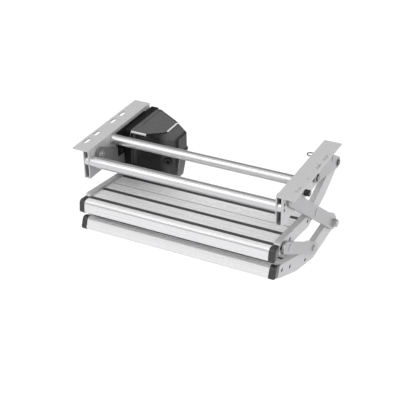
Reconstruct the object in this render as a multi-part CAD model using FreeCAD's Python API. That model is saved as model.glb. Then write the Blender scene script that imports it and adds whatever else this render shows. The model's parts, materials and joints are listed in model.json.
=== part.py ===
import FreeCAD
import Part
import math
import os

# Electric double entry step for a caravan or camper, shown stowed under the floor.
# Two rails are bolted under the floor. A pair of main arms swings down and forwards and
# carries an upper and a lower step; two smaller pairs of links keep both treads level.
# Frame: X to the right, Y to the rear, Z up, in millimetres. The origin is the middle of
# the mounting plane: midway between the rails, at half their length, on their top faces.

V = FreeCAD.Vector
os.makedirs("parts", exist_ok=True)

# Rails
RAIL_SPACING = 425.0        # between the inner walls of the two rails
RAIL_LENGTH = 260.0
RAIL_HEIGHT = 66.0
RAIL_BOX_WIDTH = 14.1       # outer width of the box section
RAIL_WALL = 2.4
FLANGE_WIDTH = 38.8         # top flange, from the inner wall to its outer edge
FLANGE_THICK = 3.2
SLOT_WIDTH = 9.0            # for M8 bolts
SLOT_LENGTH = 24.0
SLOT_EDGE = 10.2            # slot centre line in from the flange edge
SLOT_PITCH = 39.0           # between the two slots of a pair
FRONT_SLOTS = 60.5          # middle of the front pair, from the rails' front end
REAR_SLOTS = 166.0          # middle of the rear pair

# Cross tubes
FRONT_TUBE_OD = 23.6
FRONT_TUBE_AT = (12.0, -29.0)
REAR_TUBE_OD = 21.4
REAR_TUBE_AT = (95.0, -14.2)
TUBE_WALL = 1.8
TUBE_WEB = 2.0              # upright web inside the tube
PORT_OFFSET = 6.2           # screw ports above and below the tube axis
PORT_WALL = 1.5
TUBE_SCREW_R = 2.0
TUBE_SCREW_HEAD_R = 3.7
TUBE_SCREW_LENGTH = 16.0

# Mechanism, in the side view, measured from the rails' front end and the mounting plane
MAIN_PIVOT_AT = (38.0, -23.0)
ARM_SLOPE = 37.55           # stowed main arm, degrees below level
ARM_TO_UPPER = 177.9        # main pivot to the upper step's pivot
ARM_TO_LOWER = 326.6        # main pivot to the lower step's pivot
UPPER_TILT = 7.25           # stowed treads, degrees nose up
LOWER_TILT = 22.5
DEPLOY_ANGLE = 82.0         # swing of the main arms
REAR_PIN_AT = (298.0, -68.0)        # rear end of the upper side arms
REAR_PIVOT_HEIGHT = -43.0           # rear link's pivot on the rail
LINK_REAR_AT = (171.7, -215.9)      # lower link's joint on the lower side arms
LINK_FRONT_HEIGHT = -135.6          # lower link's pivot on the upper side arms

# Arms and links
STEP_GAP = 0.5              # step sides outboard of the rails' inner walls
LAYER_GAP = 1.0             # between the side arms and the flat links beside them
LINK_THICK = 5.0
MAIN_ARM_R = 15.5
REAR_LINK_FRONT_R = 11.5
REAR_LINK_REAR_R = 13.5
SPACER_POST_AT = (265.0, -42.0)     # third boss on the rear link
SPACER_POST_R = 8.0
LOWER_LINK_R = 13.0
LOWER_LINK_FRONT_TAIL = 25.6        # the lower link runs on past its pivots
LOWER_LINK_REAR_TAIL = 12.0
EDGE_BREAK = 0.8
UPPER_ARM_FRONT_AT = (3.0, -117.0)
UPPER_ARM_FRONT_R = 14.0
UPPER_ARM_BEND_AT = (150.0, -136.5)
UPPER_ARM_BEND_R = 15.5
UPPER_ARM_MID_AT = (240.0, -104.0)
UPPER_ARM_MID_R = 20.0
UPPER_ARM_REAR_AT = (297.0, -75.0)
UPPER_ARM_REAR_R = 18.0
LOWER_ARM_FRONT_AT = (4.0, -174.5)
LOWER_ARM_FRONT_R = 15.0
LOWER_ARM_BELLY_AT = (98.0, -210.5)
LOWER_ARM_BELLY_R = 19.0
LOWER_ARM_LUG_R = 11.5      # round the lower link's joint
LOWER_ARM_BEND_AT = (192.0, -234.5)
LOWER_ARM_BEND_R = 20.0
LOWER_ARM_REAR_AT = (307.0, -226.5)
LOWER_ARM_REAR_R = 19.5

# Pins
MAIN_PIN_R = 6.0
LINK_PIN_R = 5.0
BUSH_WALL = 2.0
PIN_FIT = 0.05              # radial clearance of a pin in its hole or bush
PIN_HEAD_TO_PIN = 1.25      # radius of a pin's head as a share of the pin's
PIN_HEAD_THICK = 2.6
LOWER_PIN_HEAD_TO_PIN = 1.55        # the lower pivot's larger, taller head
LOWER_PIN_HEAD_THICK = 7.4
PIN_HEAD_ROUND = 1.1
RIVET_HEAD_R = 8.4          # low heads of the pins that turn in the flat links
RIVET_HEAD = 1.2
RIVET_ROUND = 0.5
WASHER_R = 9.0
WASHER_THICK = 0.8
NUT_R = 9.5
NUT_THICK = 6.0
PIN_PROUD = 2.5             # thread that stands out of its nut

# Treads
TREAD_DEPTH = 196.0
TREAD_THICK = 18.0
TREAD_SKIN = 2.2
UPPER_TREAD_AT = (-28.5, -104.7)    # front end of the tread's top plane
LOWER_TREAD_AT = (-19.6, -147.6)
NOSE_ROUND = 9.0
NOSE_HEIGHT = 29.0
NOSE_FOOT = 16.0            # depth of the nose's bottom lip
NOSE_LIP_R = 5.0
STRIP_AT = (23.0, 76.5, 161.0)      # grip strips, from the nose
STRIP_WIDTH = 7.0
STRIP_DEPTH = 2.2
STRIP_PROUD = 0.6
STRIP_LAND = 2.0            # solid metal each side of a strip
GROOVE_AT = 115.0
GROOVE_WIDTH = 2.0
GROOVE_DEPTH = 1.0
UPPER_LAST_SCREW = 19.0     # in from the tread's rear end
LOWER_LAST_SCREW = 16.0
UPPER_SCREWS = (31.0, 79.0, TREAD_DEPTH - UPPER_LAST_SCREW)
LOWER_SCREWS = (40.0, 86.0, TREAD_DEPTH - LOWER_LAST_SCREW)
UPPER_SCREW_DROP = 8.5      # screw centres below the tread's top
LOWER_SCREW_DROP = 14.3
SIDE_SCREW_R = 2.4
SIDE_SCREW_HEAD_R = 4.6
SIDE_SCREW_HEAD = 1.8
SIDE_SCREW_LENGTH = 16.0
SCREW_LAND = 4.6
CAP_THICK = 14.0
CAP_PROUD = 0.8             # cap outline outside the tread's nose
CAP_DEPTH = 22.0
CAP_ROUND = 5.0
CAP_TONGUE = 8.0            # tongue that plugs into the hollow nose

# Motor unit on the left rail
MOTOR_PLATE_THICK = 4.0
MOTOR_PLATE_FRONT = 108.0
MOTOR_PLATE_REAR = 226.0
MOTOR_PLATE_TOP = -4.0
MOTOR_PLATE_BOTTOM = -62.0
MOTOR_PLATE_NOSE_R = 14.5
MOTOR_PLATE_TAIL_AT = (121.0, -68.0)
MOTOR_PLATE_TAIL_R = 18.0
BASE_FLANGE_THICK = 3.0
BASE_DEPTH = 14.5           # from the base's flange to the seam
HOUSING_FRONT = 133.0
HOUSING_REAR = 262.0
HOUSING_TOP = -8.0
HOUSING_BOTTOM = -122.0
HOUSING_WALL = 2.5
COVER_REACH_TOP = 76.0      # cover from the seam, along its flat top
COVER_REACH = 105.0         # cover from the seam, at its widest
COVER_REACH_BOTTOM = 97.0
COVER_SHOULDER = 13.0       # top face down to the widest outline
COVER_LIP_AT = -58.0        # height of the step between the cover's upper and lower part
COVER_LIP = 2.0             # the lower part stands out this much at the step
COVER_FRONT_FACE = 43.0     # flat front wall, from the seam
COVER_FRONT_BEVEL = 25.0    # depth of the bevelled front corner
COVER_SIDE_TOP = 214.0      # rear end of the straight side, from the rails' front end
COVER_SIDE = 202.0
COVER_SIDE_BOTTOM = 197.0
COVER_REAR_DRAFT = 7.0      # the flat top ends this far short of the housing's rear
COVER_REAR_FACE = 11.0      # flat rear wall, from the seam
COVER_CORNER_R = 9.0
COVER_TOP_ROUND = 1.8
GEARBOX_R = 29.0
GEARBOX_DEPTH = 38.0
MOTOR_R = 25.0
MOTOR_LENGTH = 66.0
MOTOR_SHIFT = (6.0, -20.0)  # motor axis from the output shaft
MOTOR_SHELL = 2.0           # gearbox wall round the motor
SHAFT_DEPTH = 20.0          # output shaft inside the gearbox
GROMMET_R = 6.5
GROMMET_HEAD_R = 9.0
GROMMET_HEAD = 5.0
GROMMET_BORE = 3.0
GROMMET_HEIGHT = -71.5      # on the cover's bevelled front corner
GROMMET_SHARE = 0.66        # its place along the bevel, from the flat front wall
PLATE_SCREW_R = 2.0
PLATE_SCREW_HEAD_R = 3.8
PLATE_SCREW_INSET = 9.5
PLATE_SCREW_DROP = 13.0     # upper screws below the plate's top

# Stops and the cable eye
BUMPER_R = 7.0
BUMPER_LENGTH = 12.0
BUMPER_ROUND = 2.1
BUMPER_AT = 117.0           # from the rails' front end
STOP_GAP = 0.3
STUD_R = 3.0
STUD_WASHER_R = 5.5
STUD_WASHER = 1.2
EYE_AT = (205.0, -10.0)
EYE_R = 7.0
EYE_WIRE_R = 1.3
EYE_REACH = 9.5             # ring centre from the rail's inner wall
EYE_FOOT_R = 2.9
EYE_FOOT = 1.5

# Planes that follow from the sizes above
INNER = RAIL_SPACING / 2
OUTER = INNER + RAIL_BOX_WIDTH
FRONT = -RAIL_LENGTH / 2
STEP_SIDE = INNER + STEP_GAP
LINK_IN = OUTER + LAYER_GAP
LINK_OUT = LINK_IN + LINK_THICK
ARM_OUT = LINK_IN - 2 * LAYER_GAP
SEAM = -(INNER - MOTOR_PLATE_THICK - BASE_FLANGE_THICK - BASE_DEPTH)


def at(place):
    """A side-view place, from the rails' front end to the part's own frame."""
    return (FRONT + place[0], place[1])


def turned(point, centre, degrees):
    """A side-view point turned about a centre; positive lowers the front."""
    angle = math.radians(degrees)
    dy = point[0] - centre[0]
    dz = point[1] - centre[1]
    return (centre[0] + dy * math.cos(angle) - dz * math.sin(angle),
            centre[1] + dy * math.sin(angle) + dz * math.cos(angle))


def shifted(point, start, end):
    return (point[0] + end[0] - start[0], point[1] + end[1] - start[1])


def equally_far(first, second, height):
    """The place at a height that is as far from one point as from the other."""
    squares = second[0] ** 2 + second[1] ** 2 - first[0] ** 2 - first[1] ** 2
    return ((squares - 2 * height * (second[1] - first[1])) / (2 * (second[0] - first[0])), height)


# Pivots of the stowed step
main_pivot = at(MAIN_PIVOT_AT)
arm_y = math.cos(math.radians(ARM_SLOPE))
arm_z = -math.sin(math.radians(ARM_SLOPE))
upper_pivot = (main_pivot[0] + ARM_TO_UPPER * arm_y, main_pivot[1] + ARM_TO_UPPER * arm_z)
lower_pivot = (main_pivot[0] + ARM_TO_LOWER * arm_y, main_pivot[1] + ARM_TO_LOWER * arm_z)
rear_pin = at(REAR_PIN_AT)
link_rear = at(LINK_REAR_AT)

# The same pivots with the step out and both treads level
upper_out = turned(upper_pivot, main_pivot, -DEPLOY_ANGLE)
lower_out = turned(lower_pivot, main_pivot, -DEPLOY_ANGLE)
rear_pin_out = shifted(turned(rear_pin, upper_pivot, UPPER_TILT), upper_pivot, upper_out)
link_rear_out = shifted(turned(link_rear, lower_pivot, LOWER_TILT), lower_pivot, lower_out)

# Each link fits at both ends of the swing, so its fixed pivot is as far from both places
rear_pivot = equally_far(rear_pin, rear_pin_out, REAR_PIVOT_HEIGHT)
link_rear_seen = turned(shifted(link_rear_out, upper_out, upper_pivot), upper_pivot, -UPPER_TILT)
link_front = equally_far(link_rear, link_rear_seen, LINK_FRONT_HEIGHT)


def heading(start, end):
    return math.degrees(math.atan2(end[1] - start[1], end[0] - start[0]))


rear_link_swing = heading(rear_pivot, rear_pin_out) - heading(rear_pivot, rear_pin)
lower_link_swing = heading(link_front, link_rear_seen) - heading(link_front, link_rear)


def cylinder(radius, x0, x1, place):
    """A cylinder along X between two planes."""
    return Part.makeCylinder(radius, x1 - x0, V(x0, place[0], place[1]), V(1, 0, 0))


def box(x0, x1, y0, y1, z0, z1):
    return Part.makeBox(x1 - x0, y1 - y0, z1 - z0, V(x0, y0, z0))


def mirrored(shape):
    return shape.mirror(V(0, 0, 0), V(1, 0, 0))


def both(shape):
    """A piece and its mirror image on the other side."""
    return [shape, mirrored(shape)]


def save(name, solids):
    """Write one node: a solid, or a group of separate solids."""
    if not isinstance(solids, list):
        solids = [solids]
    pieces = []
    for shape in solids:
        pieces.extend(shape.Solids)
    shape = pieces[0] if len(pieces) == 1 else Part.makeCompound(pieces)
    shape.exportStep("parts/" + name + ".step")
    print(name, len(pieces), "solids", round(sum(s.Volume for s in pieces) / 1000.0, 2), "cm3")


def tangent_wire(circles, x):
    """The outline round two or more circles (y, z, radius), listed anticlockwise."""
    sides = []
    for index, (y0, z0, r0) in enumerate(circles):
        y1, z1, r1 = circles[(index + 1) % len(circles)]
        length = math.hypot(y1 - y0, z1 - z0)
        dy = (y1 - y0) / length
        dz = (z1 - z0) / length
        along = (r0 - r1) / length
        across = math.sqrt(1 - along ** 2)
        normal = (dy * along + dz * across, dz * along - dy * across)
        start = V(x, y0 + r0 * normal[0], z0 + r0 * normal[1])
        end = V(x, y1 + r1 * normal[0], z1 + r1 * normal[1])
        sides.append((start, end, math.atan2(normal[1], normal[0])))
    edges = []
    for index, (start, end, angle) in enumerate(sides):
        y, z, radius = circles[(index + 1) % len(circles)]
        following = sides[(index + 1) % len(sides)]
        sweep = (following[2] - angle) % (2 * math.pi)
        middle = angle + sweep / 2
        edges.append(Part.LineSegment(start, end).toShape())
        arc_middle = V(x, y + radius * math.cos(middle), z + radius * math.sin(middle))
        edges.append(Part.Arc(end, arc_middle, following[0]).toShape())
    return Part.Wire(edges)


def plate(circles, x0, x1):
    """A flat plate with a rounded outline."""
    return Part.Face(tangent_wire(circles, x0)).extrude(V(x1 - x0, 0, 0))


def bent_plate(circles, x0, x1):
    """A flat plate that bends at each circle between its ends."""
    shape = plate(circles[0:2], x0, x1)
    for index in range(1, len(circles) - 1):
        shape = shape.fuse(plate(circles[index:index + 2], x0, x1))
    return shape.removeSplitter()


def rim(shape, x):
    """The edges of a shape in the plane at x."""
    return [edge for edge in shape.Edges if all(abs(vertex.X - x) < 1e-6 for vertex in edge.Vertexes)]


def break_edges(shape, x, size):
    """Chamfer the outline of a plate on one of its faces."""
    return shape.makeChamfer(size, rim(shape, x))


def drilled(shape, holes, x0, x1):
    """Cut round holes (place, radius) along X."""
    for place, radius in holes:
        shape = shape.cut(cylinder(radius, x0, x1, place))
    return shape


# Rails

def slot_centres():
    middles = (FRONT + FRONT_SLOTS, FRONT + REAR_SLOTS)
    return [middle + side * SLOT_PITCH / 2 for middle in middles for side in (-1, 1)]


def flange_slot(y):
    """One lengthwise slot through the flange."""
    x = INNER + FLANGE_WIDTH - SLOT_EDGE
    radius = SLOT_WIDTH / 2
    reach = SLOT_LENGTH / 2 - radius
    bar = box(x - radius, x + radius, y - reach, y + reach, -2 * FLANGE_THICK, FLANGE_THICK)
    for end in (y - reach, y + reach):
        bar = bar.fuse(Part.makeCylinder(radius, 3 * FLANGE_THICK, V(x, end, -2 * FLANGE_THICK)))
    return bar


def tube_screw_places(tube):
    y, z = at(tube)
    return [(y, z + PORT_OFFSET), (y, z - PORT_OFFSET)]


def screw_sink(place):
    """The countersink of a tube screw in the rail's outer wall."""
    depth = TUBE_SCREW_HEAD_R - TUBE_SCREW_R
    return Part.makeCone(TUBE_SCREW_R + PIN_FIT, TUBE_SCREW_HEAD_R + PIN_FIT, depth,
                         V(OUTER - depth, place[0], place[1]), V(1, 0, 0))


def right_rail():
    rear = FRONT + RAIL_LENGTH
    rail = box(INNER, OUTER, FRONT, rear, -RAIL_HEIGHT, 0)
    rail = rail.fuse(box(INNER, INNER + FLANGE_WIDTH, FRONT, rear, -FLANGE_THICK, 0))
    rail = rail.cut(box(INNER + RAIL_WALL, OUTER - RAIL_WALL, FRONT - 1, rear + 1,
                        -RAIL_HEIGHT + RAIL_WALL, -FLANGE_THICK))
    for y in slot_centres():
        rail = rail.cut(flange_slot(y))
    through = [(main_pivot, MAIN_PIN_R + PIN_FIT), (rear_pivot, MAIN_PIN_R + PIN_FIT)]
    rail = drilled(rail, through, INNER - 1, OUTER + 1)
    inner_holes = [(at(FRONT_TUBE_AT), FRONT_TUBE_OD / 2 + PIN_FIT),
                   (at(REAR_TUBE_AT), REAR_TUBE_OD / 2 + PIN_FIT)]
    rail = drilled(rail, inner_holes, INNER - 1, INNER + RAIL_WALL + 1)
    outer_holes = [((FRONT + BUMPER_AT, bumper_height()), STUD_R + PIN_FIT)]
    for tube in (FRONT_TUBE_AT, REAR_TUBE_AT):
        outer_holes += [(place, TUBE_SCREW_R + PIN_FIT) for place in tube_screw_places(tube)]
    rail = drilled(rail, outer_holes, OUTER - RAIL_WALL - 1, OUTER + 1)
    for tube in (FRONT_TUBE_AT, REAR_TUBE_AT):
        for place in tube_screw_places(tube):
            rail = rail.cut(screw_sink(place))
    return rail.removeSplitter()


def bumper_height():
    """The stop's height, where the lowered rear link just comes to rest on it."""
    length = math.hypot(rear_pin[0] - rear_pivot[0], rear_pin[1] - rear_pivot[1])
    along = (REAR_LINK_FRONT_R - REAR_LINK_REAR_R) / length
    angle = heading(rear_pivot, rear_pin) - math.degrees(math.acos(along)) + rear_link_swing
    ny = math.cos(math.radians(angle))
    nz = math.sin(math.radians(angle))
    distance = REAR_LINK_FRONT_R + BUMPER_R + STOP_GAP
    return rear_pivot[1] + (distance - ny * (FRONT + BUMPER_AT - rear_pivot[0])) / nz


def cross_tube(diameter, place):
    """A round tube with an upright web that holds two screw ports."""
    reach = OUTER - RAIL_WALL
    y, z = at(place)
    bore = diameter / 2 - TUBE_WALL
    tube = cylinder(diameter / 2, -reach, reach, (y, z)).cut(cylinder(bore, -reach, reach, (y, z)))
    core = box(-reach, reach, y - TUBE_WEB / 2, y + TUBE_WEB / 2, z - diameter / 2, z + diameter / 2)
    for centre in tube_screw_places(place):
        core = core.fuse(cylinder(TUBE_SCREW_R + PORT_WALL, -reach, reach, centre))
    tube = tube.fuse(core.common(cylinder(bore + TUBE_WALL / 2, -reach, reach, (y, z))))
    ports = [(centre, TUBE_SCREW_R) for centre in tube_screw_places(place)]
    return drilled(tube, ports, -reach, reach).removeSplitter()


def tube_screw(place):
    """A countersunk screw, flush with the rail's outer wall."""
    depth = TUBE_SCREW_HEAD_R - TUBE_SCREW_R
    head = Part.makeCone(TUBE_SCREW_R, TUBE_SCREW_HEAD_R, depth,
                         V(OUTER - depth, place[0], place[1]), V(1, 0, 0))
    shank = cylinder(TUBE_SCREW_R, OUTER - RAIL_WALL - TUBE_SCREW_LENGTH, OUTER - depth, place)
    return head.fuse(shank).removeSplitter()


# Pins and bushes

def headed_pin(place, radius, x0, plate_face, head_to_pin=PIN_HEAD_TO_PIN, head_thick=PIN_HEAD_THICK):
    """A pivot pin with a washer and a domed head outside a plate."""
    head_face = plate_face + WASHER_THICK
    end = head_face + head_thick
    washer = cylinder(WASHER_R, plate_face, head_face, place)
    head = cylinder(radius * head_to_pin, head_face, end, place)
    head = head.makeFillet(PIN_HEAD_ROUND, rim(head, end))
    shank = cylinder(radius, x0, plate_face, place)
    return shank.fuse(washer).fuse(head).removeSplitter()


def riveted_pin(place, radius, x0, plate_face):
    """A pivot pin with a low rivet head on a plate's outer face."""
    end = plate_face + RIVET_HEAD
    head = cylinder(RIVET_HEAD_R, plate_face, end, place)
    head = head.makeFillet(RIVET_ROUND, rim(head, end))
    return cylinder(radius, x0, plate_face, place).fuse(head).removeSplitter()


def bush(place, radius, x0, x1):
    """A plain sleeve pressed into a plate, running on a pin."""
    sleeve = cylinder(radius + BUSH_WALL, x0, x1, place)
    return sleeve.cut(cylinder(radius + PIN_FIT, x0, x1, place))


def hex_nut(place, radius, bore, x0, x1):
    corners = []
    for index in range(7):
        angle = math.radians(60 * index)
        corners.append(V(x0, place[0] + radius * math.cos(angle), place[1] + radius * math.sin(angle)))
    nut = Part.Face(Part.makePolygon(corners)).extrude(V(x1 - x0, 0, 0))
    return nut.cut(cylinder(bore, x0, x1, place))


def bush_hole(place, radius):
    return (place, radius + BUSH_WALL)


# Arms and links, right-hand side

def right_main_arm():
    shape = plate([(*main_pivot, MAIN_ARM_R), (*lower_pivot, MAIN_ARM_R)], LINK_IN, LINK_OUT)
    shape = break_edges(shape, LINK_OUT, EDGE_BREAK)
    holes = [bush_hole(main_pivot, MAIN_PIN_R), (upper_pivot, MAIN_PIN_R), (lower_pivot, MAIN_PIN_R)]
    return drilled(shape, holes, LINK_IN, LINK_OUT)


def right_rear_link():
    outline = [(*rear_pivot, REAR_LINK_FRONT_R), (*rear_pin, REAR_LINK_REAR_R),
               (*at(SPACER_POST_AT), SPACER_POST_R)]
    shape = plate(outline, LINK_IN, LINK_OUT)
    shape = break_edges(shape, LINK_OUT, EDGE_BREAK)
    post = cylinder(SPACER_POST_R - EDGE_BREAK, LINK_OUT, LINK_OUT + WASHER_THICK, at(SPACER_POST_AT))
    shape = shape.fuse(post)
    return drilled(shape, [(rear_pivot, MAIN_PIN_R + PIN_FIT), (rear_pin, LINK_PIN_R)],
                   LINK_IN, LINK_OUT)


def beyond(start, end, reach):
    """The place on the line from one point through another, a distance past the second."""
    length = math.hypot(end[0] - start[0], end[1] - start[1])
    return (end[0] + (end[0] - start[0]) * reach / length, end[1] + (end[1] - start[1]) * reach / length)


def right_lower_link():
    front = beyond(link_rear, link_front, LOWER_LINK_FRONT_TAIL)
    rear = beyond(link_front, link_rear, LOWER_LINK_REAR_TAIL)
    shape = plate([(*front, LOWER_LINK_R), (*rear, LOWER_LINK_R)], LINK_IN, LINK_OUT)
    shape = break_edges(shape, LINK_OUT, EDGE_BREAK)
    return drilled(shape, [(link_front, LINK_PIN_R + PIN_FIT), (link_rear, LINK_PIN_R)],
                   LINK_IN, LINK_OUT)


# Treads: u runs back along the tread's top, v runs up from it

def tread_place(start, tilt, u, v):
    angle = math.radians(tilt)
    y, z = at(start)
    return (y + u * math.cos(angle) + v * math.sin(angle), z - u * math.sin(angle) + v * math.cos(angle))


def nose_corners(margin):
    """The nose outline, grown by a margin: top, round, front, lip and foot."""
    front = -margin
    return {"top": (NOSE_ROUND, margin),
            "round": (NOSE_ROUND - (NOSE_ROUND + margin) * math.sqrt(0.5),
                      -NOSE_ROUND + (NOSE_ROUND + margin) * math.sqrt(0.5)),
            "front": (front, -NOSE_ROUND),
            "lip_top": (front, -NOSE_HEIGHT + NOSE_LIP_R),
            "lip_bottom": (front + NOSE_LIP_R, -NOSE_HEIGHT - margin),
            "foot": (NOSE_FOOT, -NOSE_HEIGHT - margin)}


def nose_edges(corner, point):
    """The rounded front of a tread or cap, from its top plane round to its foot."""
    lip_middle = (corner["lip_top"][0] + NOSE_LIP_R * (1 - math.sqrt(0.5)),
                  corner["lip_bottom"][1] + (corner["lip_top"][1] - corner["lip_bottom"][1])
                  * (1 - math.sqrt(0.5)))
    return [Part.Arc(point(corner["top"]), point(corner["round"]), point(corner["front"])).toShape(),
            Part.LineSegment(point(corner["front"]), point(corner["lip_top"])).toShape(),
            Part.Arc(point(corner["lip_top"]), point(lip_middle), point(corner["lip_bottom"])).toShape(),
            Part.LineSegment(point(corner["lip_bottom"]), point(corner["foot"])).toShape()]


def chain(points, point):
    return [Part.LineSegment(point(a), point(b)).toShape() for a, b in zip(points, points[1:])]


def tread(start, tilt, screws, drop):
    """A hollow extruded tread with a bull nose, strip grooves and screw ports."""
    def point(uv):
        return V(-STEP_SIDE, *tread_place(start, tilt, uv[0], uv[1]))

    def along(points):
        face = Part.Face(Part.makePolygon([point(p) for p in points + points[:1]]))
        return face.extrude(V(2 * STEP_SIDE, 0, 0))

    corner = nose_corners(0)
    rest = [corner["foot"], (NOSE_FOOT + NOSE_LIP_R, -TREAD_THICK), (TREAD_DEPTH, -TREAD_THICK),
            (TREAD_DEPTH, 0), corner["top"]]
    wire = Part.Wire(nose_edges(corner, point) + chain(rest, point))
    shape = Part.Face(wire).extrude(V(2 * STEP_SIDE, 0, 0))
    for u in STRIP_AT:
        half = STRIP_WIDTH / 2
        shape = shape.cut(along([(u - half, 1), (u - half, -STRIP_DEPTH),
                                 (u + half, -STRIP_DEPTH), (u + half, 1)]))
    half = GROOVE_WIDTH / 2
    shape = shape.cut(along([(GROOVE_AT - half, 1), (GROOVE_AT - half, 0), (GROOVE_AT, -GROOVE_DEPTH),
                             (GROOVE_AT + half, 0), (GROOVE_AT + half, 1)]))
    for u0, u1 in hollow_spans(screws):
        shape = shape.cut(along([(u0, -TREAD_SKIN), (u0, TREAD_SKIN - TREAD_THICK),
                                 (u1, TREAD_SKIN - TREAD_THICK), (u1, -TREAD_SKIN)]))
    shape = shape.cut(along(nose_hollow(0)))
    for place in side_screw_places(start, tilt, screws, drop):
        shape = shape.cut(cylinder(SIDE_SCREW_R, -STEP_SIDE, STEP_SIDE, place))
    return shape


def hollow_spans(screws):
    """The stretches between the solid lands of strips and screws."""
    lands = [(u - STRIP_WIDTH / 2 - STRIP_LAND, u + STRIP_WIDTH / 2 + STRIP_LAND) for u in STRIP_AT]
    lands += [(u - SCREW_LAND, u + SCREW_LAND) for u in screws]
    lands += [(GROOVE_AT - GROOVE_WIDTH, GROOVE_AT + GROOVE_WIDTH)]
    lands.append((TREAD_DEPTH - TREAD_SKIN, TREAD_DEPTH))
    lands.sort()
    spans = []
    reached = lands[0][1]
    for start, end in lands[1:]:
        if start - reached > 2 * TREAD_SKIN:
            spans.append((reached, start))
        reached = max(reached, end)
    return spans


def nose_hollow(margin):
    """The chamber behind the nose, made smaller by a margin."""
    left = TREAD_SKIN + margin
    right = NOSE_FOOT - TREAD_SKIN - margin
    top = -NOSE_ROUND - margin
    low = -NOSE_HEIGHT + TREAD_SKIN + margin
    return [(left, top), (left, -NOSE_HEIGHT + NOSE_LIP_R), (NOSE_LIP_R, low), (right, low), (right, top)]


def grip_strips(start, tilt):
    strips = []
    half = STRIP_WIDTH / 2
    for u in STRIP_AT:
        corners = [(u - half, -STRIP_DEPTH), (u + half, -STRIP_DEPTH), (u + half, 0),
                   (u + half - STRIP_PROUD, STRIP_PROUD), (u - half + STRIP_PROUD, STRIP_PROUD),
                   (u - half, 0)]
        points = [V(-STEP_SIDE, *tread_place(start, tilt, a, b)) for a, b in corners + corners[:1]]
        strips.append(Part.Face(Part.makePolygon(points)).extrude(V(2 * STEP_SIDE, 0, 0)))
    return strips


def right_end_cap(start, tilt):
    """A moulded cap over the tread's nose, with a tongue in the nose's chamber."""
    def point(uv):
        return V(STEP_SIDE, *tread_place(start, tilt, uv[0], uv[1]))

    corner = nose_corners(CAP_PROUD)
    rest = [corner["foot"], (CAP_DEPTH, -TREAD_THICK - CAP_PROUD), (CAP_DEPTH, CAP_PROUD), corner["top"]]
    face = Part.Face(Part.Wire(nose_edges(corner, point) + chain(rest, point)))
    cap = face.extrude(V(CAP_THICK, 0, 0))
    cap = cap.makeFillet(CAP_ROUND, rim(cap, STEP_SIDE + CAP_THICK))
    hollow = nose_hollow(PIN_FIT)
    tongue = Part.Face(Part.makePolygon([point(p) for p in hollow + hollow[:1]]))
    return cap.fuse(tongue.extrude(V(-CAP_TONGUE, 0, 0))).removeSplitter()


def cap_clearance(start, tilt):
    """The room that an end cap takes from the side arm behind it."""
    corners = [(-CAP_DEPTH, CAP_DEPTH), (-CAP_DEPTH, -2 * NOSE_HEIGHT),
               (CAP_DEPTH + STOP_GAP, -2 * NOSE_HEIGHT), (CAP_DEPTH + STOP_GAP, CAP_DEPTH)]
    points = [V(STEP_SIDE, *tread_place(start, tilt, u, v)) for u, v in corners + corners[:1]]
    return Part.Face(Part.makePolygon(points)).extrude(V(CAP_THICK, 0, 0))


def side_screw_places(start, tilt, screws, drop):
    return [tread_place(start, tilt, u, -drop) for u in screws]


def side_screw(place):
    shank = cylinder(SIDE_SCREW_R, STEP_SIDE - SIDE_SCREW_LENGTH, ARM_OUT - SIDE_SCREW_HEAD, place)
    head = Part.makeCone(SIDE_SCREW_R, SIDE_SCREW_HEAD_R, SIDE_SCREW_HEAD,
                         V(ARM_OUT - SIDE_SCREW_HEAD, place[0], place[1]), V(1, 0, 0))
    return shank.fuse(head).removeSplitter()


def right_side_arm(arm, start, tilt, screws, drop, bushes):
    """Finish a bent side arm: screwed to the tread's end, with its bushes' holes."""
    arm = break_edges(arm, ARM_OUT, EDGE_BREAK)
    arm = arm.cut(cap_clearance(start, tilt))
    arm = drilled(arm, [bush_hole(place, radius) for place, radius in bushes], STEP_SIDE, ARM_OUT)
    for place in side_screw_places(start, tilt, screws, drop):
        arm = arm.cut(cylinder(SIDE_SCREW_R + PIN_FIT, STEP_SIDE, ARM_OUT, place))
        arm = arm.cut(Part.makeCone(SIDE_SCREW_R + PIN_FIT, SIDE_SCREW_HEAD_R + PIN_FIT, SIDE_SCREW_HEAD,
                                    V(ARM_OUT - SIDE_SCREW_HEAD, place[0], place[1]), V(1, 0, 0)))
    return arm


def upper_arm_blank():
    circles = [(*at(UPPER_ARM_FRONT_AT), UPPER_ARM_FRONT_R), (*at(UPPER_ARM_BEND_AT), UPPER_ARM_BEND_R),
               (*at(UPPER_ARM_MID_AT), UPPER_ARM_MID_R), (*at(UPPER_ARM_REAR_AT), UPPER_ARM_REAR_R)]
    return bent_plate(circles, STEP_SIDE, ARM_OUT)


def lower_arm_blank():
    """The lower side arm, with a lug on its bend for the lower link's joint."""
    bend = (*at(LOWER_ARM_BEND_AT), LOWER_ARM_BEND_R)
    circles = [(*at(LOWER_ARM_FRONT_AT), LOWER_ARM_FRONT_R), (*at(LOWER_ARM_BELLY_AT), LOWER_ARM_BELLY_R),
               bend, (*at(LOWER_ARM_REAR_AT), LOWER_ARM_REAR_R)]
    lug = plate([(*link_rear, LOWER_ARM_LUG_R), bend], STEP_SIDE, ARM_OUT)
    return bent_plate(circles, STEP_SIDE, ARM_OUT).fuse(lug).removeSplitter()


# Motor unit on the left rail

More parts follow.
